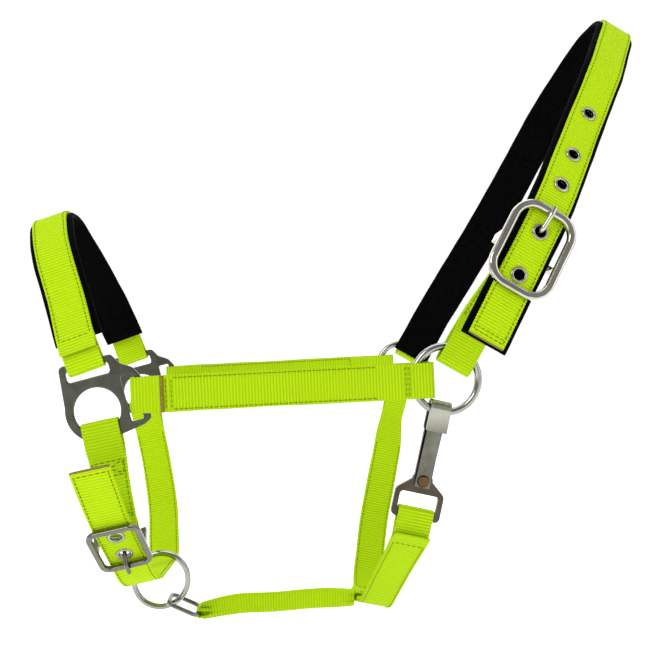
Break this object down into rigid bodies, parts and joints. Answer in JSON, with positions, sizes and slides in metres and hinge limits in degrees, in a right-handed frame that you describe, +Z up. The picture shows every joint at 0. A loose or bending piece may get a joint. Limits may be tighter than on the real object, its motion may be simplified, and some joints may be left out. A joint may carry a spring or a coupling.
{
  "type": "horse headcollar halter",
  "caption": "Webbing headcollar with padded noseband and crown, cheek rings, cast halter squares, buckled crown and chin straps, lead ring and a clip-on throat strap.",
  "frame": {"origin": "the poll: the inner face of the crown lining at the middle of the head", "axes": "+X towards the back of the crown, +Y across the head to the far side, +Z up"},
  "size_m": [0.4634, 0.2124, 0.4752],
  "materials": {
    "webbing": "ribbed nylon webbing, fluorescent yellow-green",
    "neoprene": "matte black neoprene lining",
    "nickel": "bright nickel plate",
    "polished_nickel": "polished nickel plate",
    "dark_nickel": "darkened nickel plate",
    "gunmetal": "dark gunmetal, satin",
    "bronze_rivet": "browned bronze"
  },
  "bodies": {
    "crown": {"crown_strap": "webbing", "crown_padding": "neoprene", "crown_eyelets": "nickel", "crown_buckle_frame": "polished_nickel", "crown_buckle_strap": "webbing"},
    "headstall": {"noseband_webbing": "webbing", "noseband_padding": "neoprene", "near_square": "gunmetal", "far_square": "gunmetal", "near_cheekpiece": "webbing", "far_cheekpiece": "webbing", "chin_buckle_strap": "webbing", "chin_buckle_frame": "dark_nickel", "chin_strap": "webbing", "chin_strap_eyelets": "nickel", "chin_link": "nickel", "chin_connector": "webbing", "throat_strap": "webbing", "snap_body": "gunmetal", "snap_rivet": "bronze_rivet"},
    "near_ring": {"near_cheek_ring": "nickel"},
    "far_ring": {"far_cheek_ring": "nickel"},
    "lead_ring": {"chin_ring": "nickel"},
    "snap_gate": {"snap_leaf": "gunmetal"},
    "crown_tongue": {"crown_buckle_tongue": "polished_nickel"},
    "chin_tongue": {"chin_buckle_tongue": "dark_nickel"}
  },
  "joints": [
    {"name": "crown_swing", "type": "hinge", "parent": "crown", "child": "headstall", "pos_m": [-0.15269, 0, -0.27209], "axis": [0, 1, 0], "range_deg": [-10, 10]},
    {"name": "near_ring_turn", "type": "hinge", "parent": "headstall", "child": "near_ring", "pos_m": [-0.15269, -0.082, -0.27209], "axis": [0, 1, 0], "continuous": true},
    {"name": "far_ring_turn", "type": "hinge", "parent": "headstall", "child": "far_ring", "pos_m": [-0.15269, 0.082, -0.27209], "axis": [0, 1, 0], "continuous": true},
    {"name": "chin_ring_turn", "type": "hinge", "parent": "headstall", "child": "lead_ring", "pos_m": [-0.35656, 0, -0.43177], "axis": [0, 1, 0], "continuous": true},
    {"name": "snap_gate_press", "type": "hinge", "parent": "headstall", "child": "snap_gate", "pos_m": [-0.16903, -0.07985, -0.3458], "axis": [-0.9763, 0, 0.2164], "range_deg": [0, 4.5], "stiffness_Nm_per_rad": 0.3, "springref_deg": -1.15},
    {"name": "crown_tongue_lift", "type": "hinge", "parent": "crown", "child": "crown_tongue", "pos_m": [-0.1063, -0.10497, -0.18943], "axis": [0.8721, 0, -0.4894], "range_deg": [0, 5]},
    {"name": "chin_tongue_lift", "type": "hinge", "parent": "headstall", "child": "chin_tongue", "pos_m": [-0.36894, -0.08444, -0.37355], "axis": [-0.9781, 0, -0.2079], "range_deg": [0, 5]}
  ]
}
